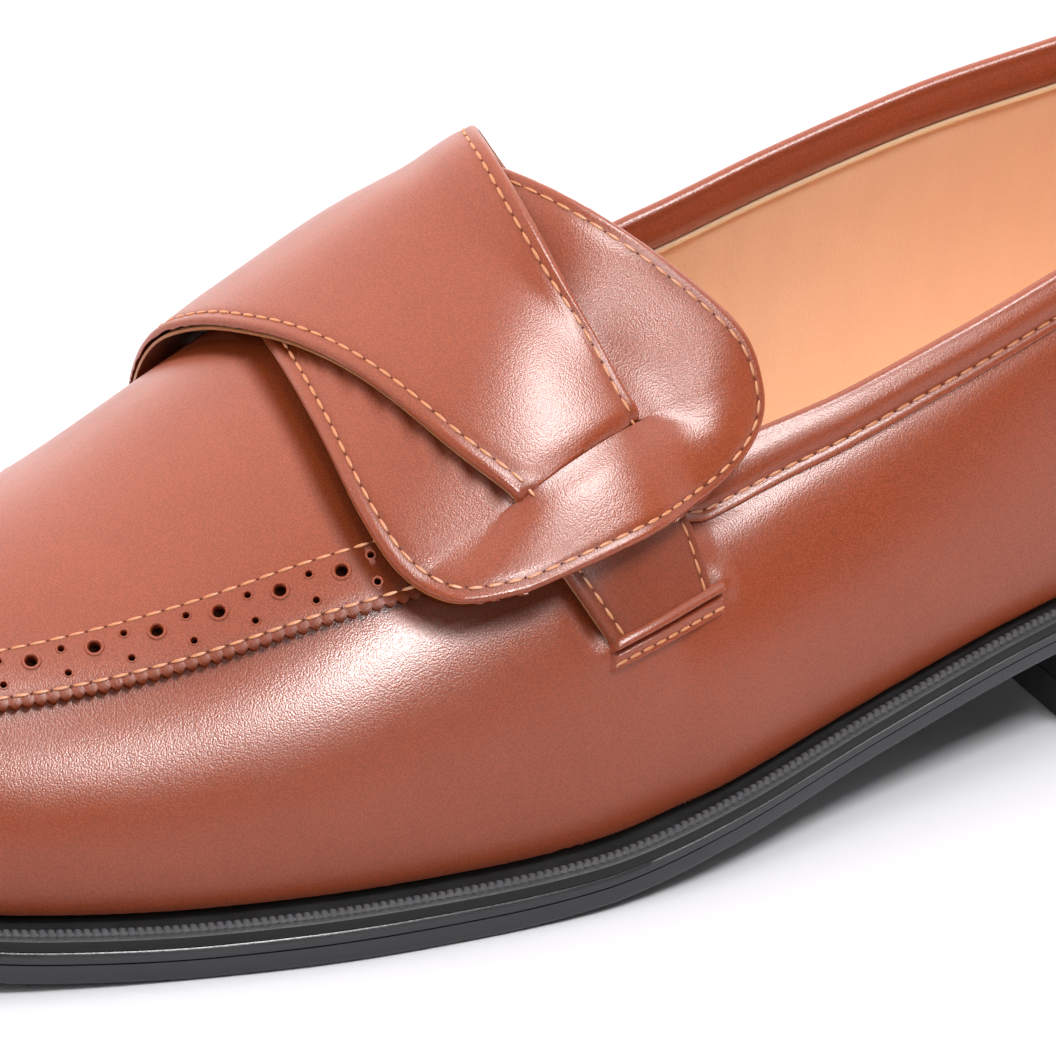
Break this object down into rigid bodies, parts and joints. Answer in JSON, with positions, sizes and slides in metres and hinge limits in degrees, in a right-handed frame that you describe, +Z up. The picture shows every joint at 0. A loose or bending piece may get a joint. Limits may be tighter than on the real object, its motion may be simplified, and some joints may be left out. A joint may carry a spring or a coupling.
{
  "type": "slip-on shoe",
  "caption": "Left leather slip-on loafer: hollow upper with a pinked apron, crossed wing straps through a slit, open collar, welted sole with arch and low heel.",
  "frame": {"origin": "on the floor, under the middle of the shoe's bounding box in plan", "axes": "+Z up, -Y towards the toe, +Y towards the heel, +X towards the outer side of the foot"},
  "size_m": [0.1092, 0.2998, 0.1026],
  "materials": {
    "tan_leather": "satin, smooth calf with fine grain",
    "lining_leather": "matt, natural tan",
    "sole_black": "satin, black edge finish",
    "lift_rubber": "matt"
  },
  "bodies": {
    "root": {"outsole": "sole_black", "welt": "sole_black", "heel_stack": "sole_black", "heel_top_lift": "lift_rubber", "insole": "lining_leather", "upper": "tan_leather", "apron": "tan_leather", "strap_lateral": "tan_leather", "strap_medial": "tan_leather"}
  },
  "joints": []
}
